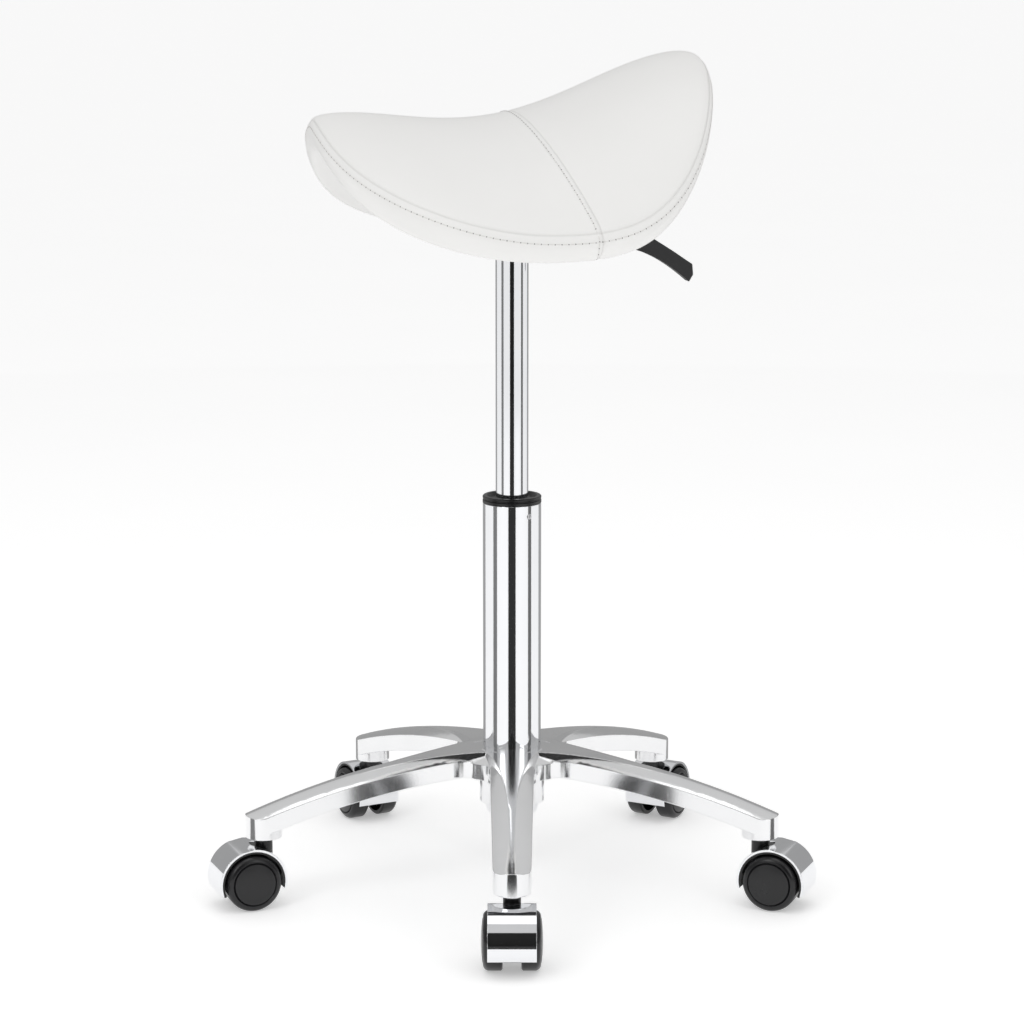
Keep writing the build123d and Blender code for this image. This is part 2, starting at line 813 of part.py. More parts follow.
with BuildPart() as caster_hood:
    with BuildSketch(Plane.XZ):
        with BuildLine():
            lip = polar(hood_radius, lip_angle)
            crease = polar(hood_radius, crease_angle)
            facet = polar(hood_radius, facet_end)
            tip = polar(hood_radius, tip_angle)
            ThreePointArc(lip, polar(hood_radius, (lip_angle + crease_angle) / 2), crease)
            Line(crease, facet)
            ThreePointArc(facet, polar(hood_radius, (facet_end + tip_angle) / 2), tip)
            Line(tip, polar(hood_inner, tip_angle + 3))
            ThreePointArc(polar(hood_inner, tip_angle + 3), polar(hood_inner, 90), polar(hood_inner, lip_angle))
            Line(polar(hood_inner, lip_angle), lip)
        make_face()
    extrude(amount=hood_half_width, both=True)
    # opening round the neck
    with BuildSketch(Plane.XY.offset(30)):
        with Locations((-3, 0)):
            SlotOverall(32, 24)
    extrude(amount=40, mode=Mode.SUBTRACT)

# shoulder that fills the hood's opening, and the neck, both kept out of the wheels' space
inside_lining = hood_inner - lining_thickness + 0.8

with BuildPart() as caster_neck:
    with BuildSketch(Plane.XY.offset(30)):
        with Locations((-3, 0)):
            SlotOverall(31.4, 23.4)
    extrude(amount=24)
    with BuildSketch(Plane.XZ):
        with Locations((trail, axle_height)):
            Circle(hood_radius - 0.9)
    extrude(amount=30, both=True, mode=Mode.INTERSECT)
    with BuildSketch(Plane.XY.offset(36)):
        Circle(neck_radius)
    extrude(amount=neck_top - 36)
    with BuildSketch(Plane.XZ):
        with Locations((trail, axle_height)):
            Circle(inside_lining)
    extrude(amount=30, both=True, mode=Mode.SUBTRACT)

stem_foot = 46.0
stem_foot_radius = 4.0
stem_step = 56.0

with BuildPart() as caster_housing:
    # lining under the hood, and the wall between the wheels that carries the axle
    arch(hood_inner - lining_thickness, hood_inner, lip_angle - 4, tip_angle, hood_half_width - 0.6)
    arch(7.0, inside_lining, lip_angle + 6, tip_angle - 14, 5.5)
    with BuildSketch(Plane.XZ):
        with Locations((trail, axle_height)):
            Circle(8.2)
    extrude(amount=5.5, both=True)
    add(caster_neck.part)
    # bores for the stem and the axle
    with BuildSketch(Plane.XY.offset(stem_foot)):
        Circle(stem_foot_radius)
    extrude(amount=stem_step - stem_foot, mode=Mode.SUBTRACT)
    with BuildSketch(Plane.XY.offset(stem_step)):
        Circle(stem_body_radius)
    extrude(amount=20, mode=Mode.SUBTRACT)
    with BuildSketch(Plane.XZ):
        with Locations((trail, axle_height)):
            Circle(axle_radius)
    extrude(amount=20, both=True, mode=Mode.SUBTRACT)

with BuildPart() as caster_stem:
    with BuildSketch(Plane.XZ):
        with BuildLine():
            Polyline(
                (0, stem_foot),
                (stem_foot_radius, stem_foot),
                (stem_foot_radius, stem_step),
                (stem_body_radius, stem_step),
                (stem_body_radius, stem_groove[0]),
                (stem_groove_radius, stem_groove[0]),
                (stem_groove_radius, stem_groove[1]),
                (stem_body_radius, stem_groove[1]),
                (stem_body_radius, 77.6),
                (3.6, stem_top),
                (0, stem_top),
                close=True,
            )
        make_face()
    revolve(axis=Axis.Z)

with BuildPart() as caster_axle:
    with BuildSketch(Plane.XZ):
        with Locations((trail, axle_height)):
            Circle(axle_radius)
    extrude(amount=18.5, both=True)

with BuildPart() as caster_wheel:
    # half section, turned round the axle: r runs out from the axle, s runs along it
    bore = axle_radius + running_gap
    with BuildSketch(Plane.XY.offset(axle_height)):
        with BuildLine():
            profile = [
                (0, wheel_face),
                (0, 19.0),
                (bore, 19.0),
                (bore, tread_inner - 1.4),
                (7.4, tread_inner - 1.4),
                (7.4, 15.0),
                (19.0, 15.0),
                (20.4, tread_inner),
                (wheel_radius - 1.2, tread_inner),
                (wheel_radius, tread_inner + 1.2),
                (wheel_radius, tread_outer - 2.0),
            ]
            shoulder = [
                (wheel_radius, tread_outer - 2.0),
                (22.6, tread_outer + 0.8),
                (19.2, tread_outer + 2.4),
            ]
            groove = [(19.2, tread_outer + 2.4), (18.2, tread_outer + 1.5), (17.6, tread_outer + 2.7)]
            cap = [(17.6, tread_outer + 2.7), (10.0, wheel_face - 0.35), (3.0, wheel_face)]
            Polyline(*[(trail + r, s) for r, s in profile])
            ThreePointArc(*[(trail + r, s) for r, s in shoulder])
            Polyline(*[(trail + r, s) for r, s in groove])
            ThreePointArc(*[(trail + r, s) for r, s in cap])
            Line((trail + 3.0, wheel_face), (trail, wheel_face))
        make_face()
    revolve(axis=Axis((trail, 0, axle_height), (0, 1, 0)))

caster_pieces = {
    "stem": caster_stem.part,
    "housing": caster_housing.part,
    "hood": caster_hood.part,
    "axle": caster_axle.part,
    "wheel_left": caster_wheel.part,
    "wheel_right": caster_wheel.part.mirror(Plane.XZ),
}

for number in range(leg_count):
    bearing = first_leg + number * leg_step
    turn = math.radians(bearing)
    place = Location(
        (stem_radius * math.cos(turn), stem_radius * math.sin(turn), 0),
        (0, 0, bearing + caster_turns[number]),
    )
    for name, piece in caster_pieces.items():
        standing = place * piece
        standing.label = f"caster{number + 1}_{name}"
        export_step(standing, f"parts/{standing.label}.step")

# ---- grip rings: sprung into the stem sockets, the stems turn in them ----
with BuildPart() as grip_rings:
    with BuildSketch(Plane.XY.offset(stem_groove[0] + 0.2)):
        with PolarLocations(stem_radius, leg_count, start_angle=first_leg):
            Circle(socket_radius)
            Circle(stem_groove_radius + running_gap, mode=Mode.SUBTRACT)
    extrude(amount=2.8)
grip_rings.part.label = "grip_rings"
export_step(grip_rings.part, "parts/grip_rings.step")
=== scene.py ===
import math

import bmesh
import bpy
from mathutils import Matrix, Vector
from mathutils.bvhtree import BVHTree


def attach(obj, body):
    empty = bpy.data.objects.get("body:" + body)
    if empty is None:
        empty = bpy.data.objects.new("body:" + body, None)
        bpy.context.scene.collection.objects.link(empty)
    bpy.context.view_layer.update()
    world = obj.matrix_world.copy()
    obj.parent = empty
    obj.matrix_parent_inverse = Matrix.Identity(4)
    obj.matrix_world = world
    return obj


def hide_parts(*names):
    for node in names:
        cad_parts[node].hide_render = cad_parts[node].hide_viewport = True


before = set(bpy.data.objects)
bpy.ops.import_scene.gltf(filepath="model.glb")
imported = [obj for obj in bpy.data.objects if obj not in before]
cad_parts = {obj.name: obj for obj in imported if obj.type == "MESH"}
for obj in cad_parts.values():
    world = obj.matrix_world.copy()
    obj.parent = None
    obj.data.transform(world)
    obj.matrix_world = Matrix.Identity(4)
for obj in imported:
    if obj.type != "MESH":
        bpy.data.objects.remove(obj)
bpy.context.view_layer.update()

scene = bpy.context.scene
mm = 0.001
print("frame loaded:", len(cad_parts), "nodes")


class Wire:
    # one socket of a shader or geometry graph, with the usual arithmetic on it
    def __init__(self, graph, socket):
        self.graph = graph
        self.socket = socket

    def maths(self, operation, other=0.0, flip=False):
        first, second = (other, self) if flip else (self, other)
        return self.graph.add("ShaderNodeMath", {"operation": operation}, {0: first, 1: second})

    def __add__(self, other):
        return self.maths("ADD", other)

    def __sub__(self, other):
        return self.maths("SUBTRACT", other)

    def __mul__(self, other):
        return self.maths("MULTIPLY", other)

    def __truediv__(self, other):
        return self.maths("DIVIDE", other)

    def __gt__(self, other):
        return self.maths("GREATER_THAN", other)

    def __radd__(self, other):
        return self.maths("ADD", other, True)

    def out(self, name):
        return Wire(self.graph, self.socket.node.outputs[name])


class Graph:
    def __init__(self, tree):
        self.tree = tree

    def add(self, kind, settings=None, sockets=None):
        node = self.tree.nodes.new(kind)
        for key, value in (settings or {}).items():
            if key == "stops":
                ramp = node.color_ramp
                while len(ramp.elements) < len(value):
                    ramp.elements.new(0.5)
                for element, (place, shade) in zip(ramp.elements, value):
                    element.position = place
                    element.color = shade if hasattr(shade, "__len__") else (shade, shade, shade, 1)
            else:
                setattr(node, key, value)
        for key, value in (sockets or {}).items():
            if isinstance(value, Wire):
                self.tree.links.new(value.socket, node.inputs[key])
            else:
                node.inputs[key].default_value = value
        return Wire(self, node.outputs[0]) if len(node.outputs) else node


class Finish(Graph):
    # a material with its Principled shader; the maker adds what varies
    def __init__(self, name, colour, roughness, metallic=0.0, **constants):
        self.material = bpy.data.materials.new(name)
        self.material.use_nodes = True
        self.material.diffuse_color = (*colour, 1)
        super().__init__(self.material.node_tree)
        self.shader = self.tree.nodes["Principled BSDF"]
        self.set("Base Color", (*colour, 1))
        self.set("Roughness", roughness)
        self.set("Metallic", metallic)
        for key, value in constants.items():
            self.set(key.replace("_", " "), value)

    def set(self, name, value):
        if isinstance(value, Wire):
            self.tree.links.new(value.socket, self.shader.inputs[name])
        else:
            self.shader.inputs[name].default_value = value

    def place(self, stretch=(1, 1, 1)):
        coords = self.add("ShaderNodeTexCoord").out("Object")
        return self.add("ShaderNodeMapping", {}, {"Vector": coords, "Scale": stretch})

    def noise(self, vector, scale, detail=3.0, roughness=0.55):
        sockets = {"Vector": vector, "Scale": scale, "Detail": detail, "Roughness": roughness}
        return self.add("ShaderNodeTexNoise", {}, sockets)

    def ramp(self, value, stops):
        return self.add("ShaderNodeValToRGB", {"stops": stops}, {"Fac": value})

    def blend(self, factor, first, second):
        mix = self.add("ShaderNodeMix", {"data_type": "RGBA"}, {"Factor": factor})
        for key, value in ((6, first), (7, second)):
            if isinstance(value, Wire):
                self.tree.links.new(value.socket, mix.socket.node.inputs[key])
            else:
                mix.socket.node.inputs[key].default_value = (*value, 1)
        return Wire(self, mix.socket.node.outputs[2])

    def bump(self, height, depth, strength=1.0, rounded=0.0):
        sockets = {"Height": height, "Distance": depth, "Strength": strength}
        if rounded:
            sockets["Normal"] = self.add("ShaderNodeBevel", {"samples": 6}, {"Radius": rounded})
        self.set("Normal", self.add("ShaderNodeBump", {}, sockets))


# polished metals: roughness, what the clouds and the polishing marks add to it,
# and how far the shading rounds the edges, in metres
chromeLook = {
    "dull": (0.80, 0.81, 0.83),
    "clear": (0.88, 0.885, 0.90),
    "roughness": 0.028,
    "clouding": 0.035,
    "streaks": 0.02,
    "rounding": 0.0006,
}
aluminiumLook = {
    "dull": (0.80, 0.805, 0.815),
    "clear": (0.90, 0.90, 0.905),
    "roughness": 0.07,
    "clouding": 0.06,
    "buffing": 0.045,
    "rounding": 0.0011,
}


def makeChrome():
    look = chromeLook
    chrome = Finish("chromePlate", (0.83, 0.84, 0.86), 0.05, 1.0)
    place = chrome.place()
    cloud = chrome.noise(place, 18, 4)
    streaks = chrome.noise(chrome.place((1, 1, 0.06)), 420, 2)
    chrome.set("Roughness", look["roughness"] + cloud * look["clouding"] + streaks * look["streaks"])
    chrome.set("Base Color", chrome.blend(cloud, look["dull"], look["clear"]))
    chrome.bump(chrome.noise(place, 900, 2), 0.000004, 0.5, look["rounding"])
    return chrome.material


def makeAluminium():
    look = aluminiumLook
    metal = Finish("polishedAluminium", (0.86, 0.865, 0.875), 0.1, 1.0)
    place = metal.place()
    cloud = metal.noise(place, 24, 5)
    buffed = metal.noise(metal.place((1, 1, 0.25)), 650, 3)
    pits = metal.noise(place, 2600, 1)
    metal.set("Roughness", look["roughness"] + cloud * look["clouding"] + buffed * look["buffing"])
    metal.set("Base Color", metal.blend(cloud, look["dull"], look["clear"]))
    metal.bump(buffed * 0.6 + pits * 0.4, 0.000012, 0.45, look["rounding"])
    return metal.material


def makePlastic(name, colour, roughness, grain, depth):
    plastic = Finish(name, colour, roughness, 0.0, Specular_IOR_Level=0.45)
    place = plastic.place()
    spark = plastic.noise(place, grain, 3, 0.6)
    cloud = plastic.noise(place, 30, 4)
    lighter = tuple(channel * 1.6 + 0.001 for channel in colour)
    plastic.set("Base Color", plastic.blend(cloud, colour, lighter))
    plastic.set("Roughness", roughness - 0.08 + cloud * 0.12 + spark * 0.06)
    plastic.bump(spark, depth, 0.7)
    return plastic.material


def makeSteel(name, colour, roughness):
    steel = Finish(name, colour, roughness, 1.0)
    cloud = steel.noise(steel.place(), 60, 5)
    turned = steel.noise(steel.place((0.2, 0.2, 1)), 1600, 2)
    steel.set("Roughness", roughness - 0.06 + cloud * 0.12 + turned * 0.06)
    steel.set("Base Color", steel.blend(cloud, tuple(c * 0.86 for c in colour), colour))
    steel.bump(turned, 0.00001, 0.5)
    return steel.material


# line of the seam across the seat in mm, y = start + bow * x * x, and how it shows in the leather: its
# groove and the rim seam's groove are painted darker as painted shade
seam = {
    "start": 0.0,
    "bow": 0.00089,
    "width": 0.55,
    "rimWidth": 0.5,
    "shade": 0.28,
    "grooveShade": (0.52, 0.51, 0.49),
}
leatherLook = {
    "cool": (0.845, 0.84, 0.825),
    "warm": (0.885, 0.88, 0.868),
    "roughness": 0.40,
    "pebbles": 760.0,
}


def makeLeather():
    look = leatherLook
    settings = {"Specular_IOR_Level": 0.42, "Coat_Roughness": 0.35}
    leather = Finish("whiteLeather", (0.86, 0.855, 0.84), 0.42, 0.0, **settings)
    place = leather.place()
    warp = leather.noise(place, 160, 2)
    bent = leather.add(
        "ShaderNodeVectorMath",
        {"operation": "MULTIPLY_ADD"},
        {0: warp.out("Color"), 1: (0.0016, 0.0016, 0.0016), 2: place},
    )
    pebbles = {"Vector": bent, "Scale": look["pebbles"]}
    cells = leather.add("ShaderNodeTexVoronoi", {"feature": "DISTANCE_TO_EDGE"}, pebbles)
    pebble = leather.ramp(cells, [(0.0, 0.0), (0.16, 0.75), (0.5, 1.0)])
    creases = leather.noise(bent, 240, 4, 0.6)
    cloud = leather.noise(place, 9, 4)
    spot = leather.add("ShaderNodeSeparateXYZ", {}, {"Vector": place})
    across = spot * 1000  # mm
    gap = spot.out("Y") * 1000 - across * across * seam["bow"]
    rim = leather.add("ShaderNodeAttribute", {"attribute_name": "rim"}).out("Fac")

    def ridge(value, centre, width):
        part = (value - centre) / width
        return (part * part * -1).maths("POWER", 2.718, True)  # a bell curve

    line = ridge(gap, 0, seam["width"]) + ridge(rim, 0, seam["rimWidth"])
    fold = ridge(gap, -2.2, 1.3) + ridge(rim, -1.6, 0.9)
    tint = leather.blend(cloud, look["cool"], look["warm"])
    # painted shade: the leather colour is darkened along the cross seam and the rim seam, where their
    # grooves lie
    leather.set("Base Color", leather.blend(line * seam["shade"], tint, seam["grooveShade"]))
    leather.set("Roughness", look["roughness"] + creases * 0.10 - pebble * 0.06)
    leather.bump(pebble * 0.03 + creases * 0.05 - line * 0.8 + fold * 0.4, 0.0007, 0.5)
    return leather.material


def makeThread():
    thread = Finish("stitchThread", (0.80, 0.79, 0.77), 0.62)
    strands = thread.noise(thread.place(), 2600, 3)
    thread.set("Base Color", thread.blend(strands, (0.70, 0.69, 0.67), (0.84, 0.83, 0.81)))
    thread.bump(strands, 0.00006, 0.8)
    return thread.material


def makeHole():
    # painted shade: the needle holes are coloured dark for the shade inside them
    hole = Finish("stitchHoleShade", (0.30, 0.29, 0.28), 0.8)
    hole.set("Roughness", 0.7 + hole.noise(hole.place(), 900) * 0.25)
    return hole.material


def makeCloth():
    cloth = Finish("dustCloth", (0.03, 0.03, 0.031), 0.92, 0.0, Specular_IOR_Level=0.2)
    place = cloth.place()
    fibres = cloth.noise(place, 1400, 5, 0.7)
    dots = cloth.add("ShaderNodeTexVoronoi", {}, {"Vector": place, "Scale": 520.0})
    cloth.set("Base Color", cloth.blend(fibres, (0.018, 0.018, 0.019), (0.06, 0.06, 0.062)))
    cloth.set("Roughness", 0.82 + fibres * 0.14)
    cloth.bump(dots * 0.5 + fibres * 0.5, 0.0001, 0.8)
    return cloth.material


chromePlate = makeChrome()
polishedAluminium = makeAluminium()
plasticLooks = {  # colour, roughness, how fine the grain is, how deep it is in metres
    "blackPlastic": ((0.006, 0.006, 0.0065), 0.32, 1500, 0.00002),
    "wheelNylon": ((0.006, 0.006, 0.0068), 0.24, 1100, 0.000015),
    "boardPlastic": ((0.025, 0.025, 0.027), 0.5, 900, 0.00005),
    "blackPaint": ((0.016, 0.016, 0.018), 0.42, 700, 0.00005),
    "blackRubber": ((0.02, 0.02, 0.02), 0.7, 1200, 0.00004),
}
plastics = {name: makePlastic(name, *look) for name, look in plasticLooks.items()}
brightSteel = makeSteel("brightSteel", (0.62, 0.62, 0.63), 0.28)
whiteLeather = makeLeather()
stitchThread = makeThread()
stitchHoleShade = makeHole()
dustCloth = makeCloth()
print("finishes made")


def newPiece(name, verts, faces, material, smooth=True):
    mesh = bpy.data.meshes.new(name)
    mesh.from_pydata([tuple(v) for v in verts], [], faces)
    mesh.validate()
    piece = bpy.data.objects.new(name, mesh)
    scene.collection.objects.link(piece)
    mesh.materials.append(material)
    mesh.polygons.foreach_set("use_smooth", [smooth] * len(mesh.polygons))
    return piece


def applied(piece):
    # the piece with its modifiers made part of its mesh
    depsgraph = bpy.context.evaluated_depsgraph_get()
    baked = bpy.data.meshes.new_from_object(piece.evaluated_get(depsgraph))
    old = piece.data
    piece.modifiers.clear()
    piece.data = baked
    bpy.data.meshes.remove(old)
    return piece


def smoothingTree():
    # for carried-over CAD nodes: welded, smooth, sharp over real edges
    tree = bpy.data.node_groups.new("smoothCad", "GeometryNodeTree")
    tree.interface.new_socket("Geometry", in_out="INPUT", socket_type="NodeSocketGeometry")
    tree.interface.new_socket("Sharp Above", in_out="INPUT", socket_type="NodeSocketFloat")
    tree.interface.new_socket("Geometry", in_out="OUTPUT", socket_type="NodeSocketGeometry")
    g = Graph(tree)
    shape = g.add("NodeGroupInput")
    welded = g.add("GeometryNodeMergeByDistance", {}, {"Geometry": shape, "Distance": 0.00001})
    faces = {"Geometry": welded, "Shade Smooth": True}
    soft = g.add("GeometryNodeSetShadeSmooth", {"domain": "FACE"}, faces)
    steep = g.add("GeometryNodeInputMeshEdgeAngle") > shape.out("Sharp Above")
    edges = {"Geometry": soft, "Selection": steep, "Shade Smooth": False}
    crisp = g.add("GeometryNodeSetShadeSmooth", {"domain": "EDGE"}, edges)
    g.add("NodeGroupOutput", {}, {"Geometry": crisp})
    return tree


smoothCad = smoothingTree()


def setInput(modifier, name, value):
    for item in modifier.node_group.interface.items_tree:
        if item.in_out == "INPUT" and item.name == name:
            modifier[item.identifier] = value


def dressNode(name, material, sharpAbove):
    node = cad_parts[name]
    node.data.materials.clear()
    node.data.materials.append(material)
    modifier = node.modifiers.new("smoothing", "NODES")
    modifier.node_group = smoothCad
    setInput(modifier, "Sharp Above", math.radians(sharpAbove))


def casterNodes(*parts):
    return [f"caster{n}_{part}" for n in range(1, 6) for part in parts]


# carried-over CAD nodes and their finishes
nodeFinishes = {
    plastics["blackPlastic"]: ["guide_bush", "rod_gland", "lever_handle"] + casterNodes("housing"),
    brightSteel: [
        "lower_race", "ball_cage", "upper_race", "thrust_washer", "grip_rings", "rod_clip", "bush_rivet",
        "plate_bolts", "plate_washers", "tee_nuts", "lever_pin", "piston_rod", "lever_rod", "release_pin",
        "valve_body", "piston",
    ] + casterNodes("stem", "axle"),
    plastics["blackPaint"]: ["mounting_plate", "cone_socket"],
    plastics["blackRubber"]: ["rubber_buffer", "piston_seal"],
    plastics["boardPlastic"]: ["seat_board"],
    dustCloth: ["dust_cover"],
    chromePlate: ["column_tube", "pressure_tube"] + casterNodes("hood"),
    plastics["wheelNylon"]: casterNodes("wheel_left", "wheel_right"),
    polishedAluminium: ["star_base"],
    whiteLeather: ["seat_cushion"],
}
sharpEdge = {"hood": 14, "other": 32}  # degrees
for material, names in nodeFinishes.items():
    for name in names:
        dressNode(name, material, sharpEdge["hood" if "hood" in name else "other"])
print("CAD nodes dressed")


# seat cover: leather drawn over the foam, sizes in mm
seat = {
    "halfWidth": 188.5,
    "front": 178.0,
    "rear": 149.5,
    "shift": 6.5,
    "unit": 180.0,
    "frontSquare": 2.39,
    "rearSquare": 2.56,
    "flare": 0.0787,
    "ridge": (669.4, 44.9, 69.7, -22.4, -53.1),  # height along the middle, as powers of y
    "fall": (90.4, 27.4, 47.3, -15.7),  # how much lower the sides hang, as powers of y
    "fallPower": (2.0, 0.46),
    "rimDepth": 23.0,
    "padDepth": 48.0,
    "padShift": 14,
    "padReach": 172,
    "grid": 96,
    "tuck": 6.2,
    "rimSeam": 11.0,  # from the top panel's edge to the seam above the band
    "pressure": 3.0,
    "rise": 4.0,  # most that a point of the cover may swell
    "steps": 20,
}


def seatTop(x, y):
    s = (y - seat["shift"]) / seat["unit"]
    ridge = sum(factor * s**power for power, factor in enumerate(seat["ridge"]))
    fall = sum(factor * s**power for power, factor in enumerate(seat["fall"]))
    power = seat["fallPower"][0] + seat["fallPower"][1] * s
    return ridge - fall * (abs(x) / seat["halfWidth"]) ** power


def seatDepth(x, y):
    along = (y - seat["shift"] + seat["padShift"]) / seat["padReach"]
    across = x / seat["halfWidth"]
    swell = max(0, 1 - across**2) * max(0, 1 - along**2)
    return seat["rimDepth"] + (seat["padDepth"] - seat["rimDepth"]) * swell


def seatEdge(turn):
    # plan of the seat's outline at a turn from +X, and its outward direction
    def point(t):
        c, s = math.cos(t), math.sin(t)
        power = 2 / (seat["rearSquare"] if s > 0 else seat["frontSquare"])
        y = (seat["rear"] if s > 0 else seat["front"]) * math.copysign(abs(s) ** power, s)
        x = seat["halfWidth"] * math.copysign(abs(c) ** power, c) * (1 + seat["flare"] * y / seat["unit"])
        return Vector((x, y + seat["shift"]))

    step = 0.02
    along = point(turn + step) - point(turn - step)
    return point(turn), Vector((along.y, -along.x)).normalized()


# rim profile: how far in from the outline, how much of the tuck, how far below the top
rimProfile = [
    (14.0, 0.0, 0.0), (10.0, 0.0, 0.1), (7.4, 0.0, 0.4), (5.4, 0.0, 0.9), (4.0, 0.0, 1.5),
    (3.1, 0.0, 2.2), (2.3, 0.0, 3.0), (1.5, 0.0, 4.2), (0.9, 0.0, 5.8), (0.6, 0.0, 7.8),
    (0.5, 0.04, 10.0), (0.5, 0.14, 12.4), (0.5, 0.32, 15.0), (0.6, 0.54, 17.4), (0.7, 0.76, 19.6),
    (0.9, 0.94, 21.4), (1.6, 1.0, 22.5), (3.2, 0.95, 23.6), (7.0, 0.7, 25.0), (14.0, 0.3, 25.3),
    (30.0, 0.0, 25.2), (48.0, 0.0, 25.1), (49.0, 0.0, 23.4), (49.0, 0.0, 15.0),
]


def buildCover():
    count = seat["grid"]
    verts, faces, rim = [], [], []

    def disc(i, j):
        a, b = 2 * i / count - 1, 2 * j / count - 1
        return a * math.sqrt(1 - b * b / 2), b * math.sqrt(1 - a * a / 2)

    def sheet(row, level):
        # a whole grid inside one rim row
        inset = rimProfile[row][0]
        ids = {}
        for i in range(count + 1):
            for j in range(count + 1):
                u, v = disc(i, j)
                share = math.hypot(u, v)
                edge, out = seatEdge(math.atan2(v, u))
                spot = (edge - out * inset - Vector((0, seat["shift"]))) * share
                x, y = spot.x, spot.y + seat["shift"]
                ids[i, j] = len(verts)
                verts.append((x, y, level(x, y)))
                rim.append(-seat["rimSeam"] - 60 * (1 - share) if row == 0 else 60.0)
        return ids

    top = sheet(0, seatTop)
    loop = [(i, 0) for i in range(count)] + [(count, j) for j in range(count)]
    loop += [(i, count) for i in range(count, 0, -1)] + [(0, j) for j in range(count, 0, -1)]
    for i in range(count):
        for j in range(count):
            faces.append((top[i, j], top[i + 1, j], top[i + 1, j + 1], top[i, j + 1]))
    turns = [math.atan2(disc(*spot)[1], disc(*spot)[0]) for spot in loop]
    before = [top[spot] for spot in loop]
    length = 0.0
    for row in range(1, len(rimProfile)):
        inset, share, drop = rimProfile[row]
        length += math.hypot(inset - rimProfile[row - 1][0], drop - rimProfile[row - 1][2])
        ring = []
        for turn in turns:
            edge, out = seatEdge(turn)
            slope = (seatTop(*(edge - out * 8)) - seatTop(*edge)) / 8
            tuck = seat["tuck"] * min(1.15, 0.45 + 0.7 * slope)
            spot = edge - out * (inset + tuck * share)
            base = edge - out * inset
            scale = seatDepth(*base) / seat["rimDepth"]
            ring.append(len(verts))
            verts.append((spot.x, spot.y, seatTop(*base) - drop * scale))
            rim.append(length - seat["rimSeam"] - 0.6)
        for k in range(len(ring)):
            nxt = (k + 1) % len(ring)
            faces.append((before[k], ring[k], ring[nxt], before[nxt]))
        before = ring
    last = len(rimProfile) - 1
    share = rimProfile[last][2] / seat["rimDepth"]
    bottom = sheet(last, lambda x, y: seatTop(x, y) - seatDepth(x, y) * share)
    lower = [bottom[spot] for spot in loop]
    for k in range(len(lower)):
        nxt = (k + 1) % len(lower)
        faces.append((before[k], lower[k], lower[nxt], before[nxt]))
    for i in range(count):
        for j in range(count):
            faces.append((bottom[i, j], bottom[i, j + 1], bottom[i + 1, j + 1], bottom[i + 1, j]))
    piece = newPiece("seatCover", [tuple(c * mm for c in v) for v in verts], faces, whiteLeather)
    # how far each point lies outside the rim seam, in mm, for the leather and the sewing
    attribute = piece.data.attributes.new("rim", "FLOAT", "POINT")
    attribute.data.foreach_set("value", rim)
    shape = bmesh.new()
    shape.from_mesh(piece.data)
    bmesh.ops.remove_doubles(shape, verts=shape.verts, dist=1e-5)
    bmesh.ops.recalc_face_normals(shape, faces=shape.faces)
    shape.to_mesh(piece.data)
    shape.free()
    return piece


def seamGap(x, y):
    # distance in mm from the seam across the seat
    return y - (seam["start"] + seam["bow"] * x * x)


def inflate(piece):
    # the panels swell between their seams, which are held
    held = piece.vertex_groups.new(name="held")
    rims = [value.value for value in piece.data.attributes["rim"].data]
    rest = [v.co.copy() for v in piece.data.vertices]
    for v in piece.data.vertices:
        gap = abs(seamGap(v.co.x / mm, v.co.y / mm))
        if rims[v.index] > -9:  # the band and its seam
            weight = 1.0
        elif rims[v.index] > -14:
            weight = 0.85
        else:
            weight = 0.9 if gap < 3 else 0.0
        if weight:
            held.add([v.index], weight, "REPLACE")
    cloth = piece.modifiers.new("leather", "CLOTH")
    cloth.settings.quality = 5
    cloth.settings.use_pressure = True
    cloth.settings.uniform_pressure_force = seat["pressure"]
    cloth.settings.effector_weights.gravity = 0
    cloth.settings.vertex_group_mass = "held"
    cloth.settings.mass = 0.5
    cloth.settings.tension_stiffness = 40
    cloth.settings.bending_stiffness = 6
    cloth.collision_settings.use_self_collision = False
    cloth.point_cache.frame_start = 1
    cloth.point_cache.frame_end = seat["steps"]
    for number in range(1, seat["steps"] + 1):
        scene.frame_set(number)
    applied(piece)
    for v, before in zip(piece.data.vertices, rest):
        shift = v.co - before
        if shift.length > seat["rise"] * mm:
            v.co = before + shift.normalized() * seat["rise"] * mm
    scene.frame_set(1)


# channels in mm: how deep and wide the seams lie, and the fold beside the cross seam
channel = {
    "deep": 0.9,
    "wide": 2.0,
    "fold": 0.45,
    "foldBeside": 3.2,
    "foldWide": 2.2,
    "rimDeep": 0.35,
    "rimWide": 1.3,
    "until": 26,
}


def sewChannels(piece):
    # after one subdivision, the seams are drawn in and folded to one side
    dense = piece.modifiers.new("dense", "SUBSURF")
    dense.levels = 1
    dense.render_levels = 1
    applied(piece)
    rims = [value.value for value in piece.data.attributes["rim"].data]
    normals = [v.normal.copy() for v in piece.data.vertices]
    for v, normal in zip(piece.data.vertices, normals):
        if rims[v.index] > channel["until"]:
            continue
        gap = seamGap(v.co.x / mm, v.co.y / mm)
        beside = (gap + channel["foldBeside"]) / channel["foldWide"]
        sink = channel["deep"] * math.exp(-((gap / channel["wide"]) ** 2))
        sink -= channel["fold"] * math.exp(-(beside**2))
        sink += channel["rimDeep"] * math.exp(-((rims[v.index] / channel["rimWide"]) ** 2))
        v.co -= normal * sink * mm


seatCover = buildCover()
inflate(seatCover)
sewChannels(seatCover)
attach(seatCover, "seat")
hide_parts("seat_cushion")
print("seat cover:", len(seatCover.data.polygons), "faces")


# dust sheet: thin cloth over the wrapped leather, open round the platform, sizes in mm
dust = {
    "inset": 43.0,
    "openX": 77.0,
    "openY": 55.0,
    "corner": 7.0,
    "rows": 12,
    "turns": 160,
    "overLeather": 1.115,  # level at the rim, as a share of the pad's depth
    "clear": 1.0,
    "sag": 0.8,
    "thick": 0.6,
}


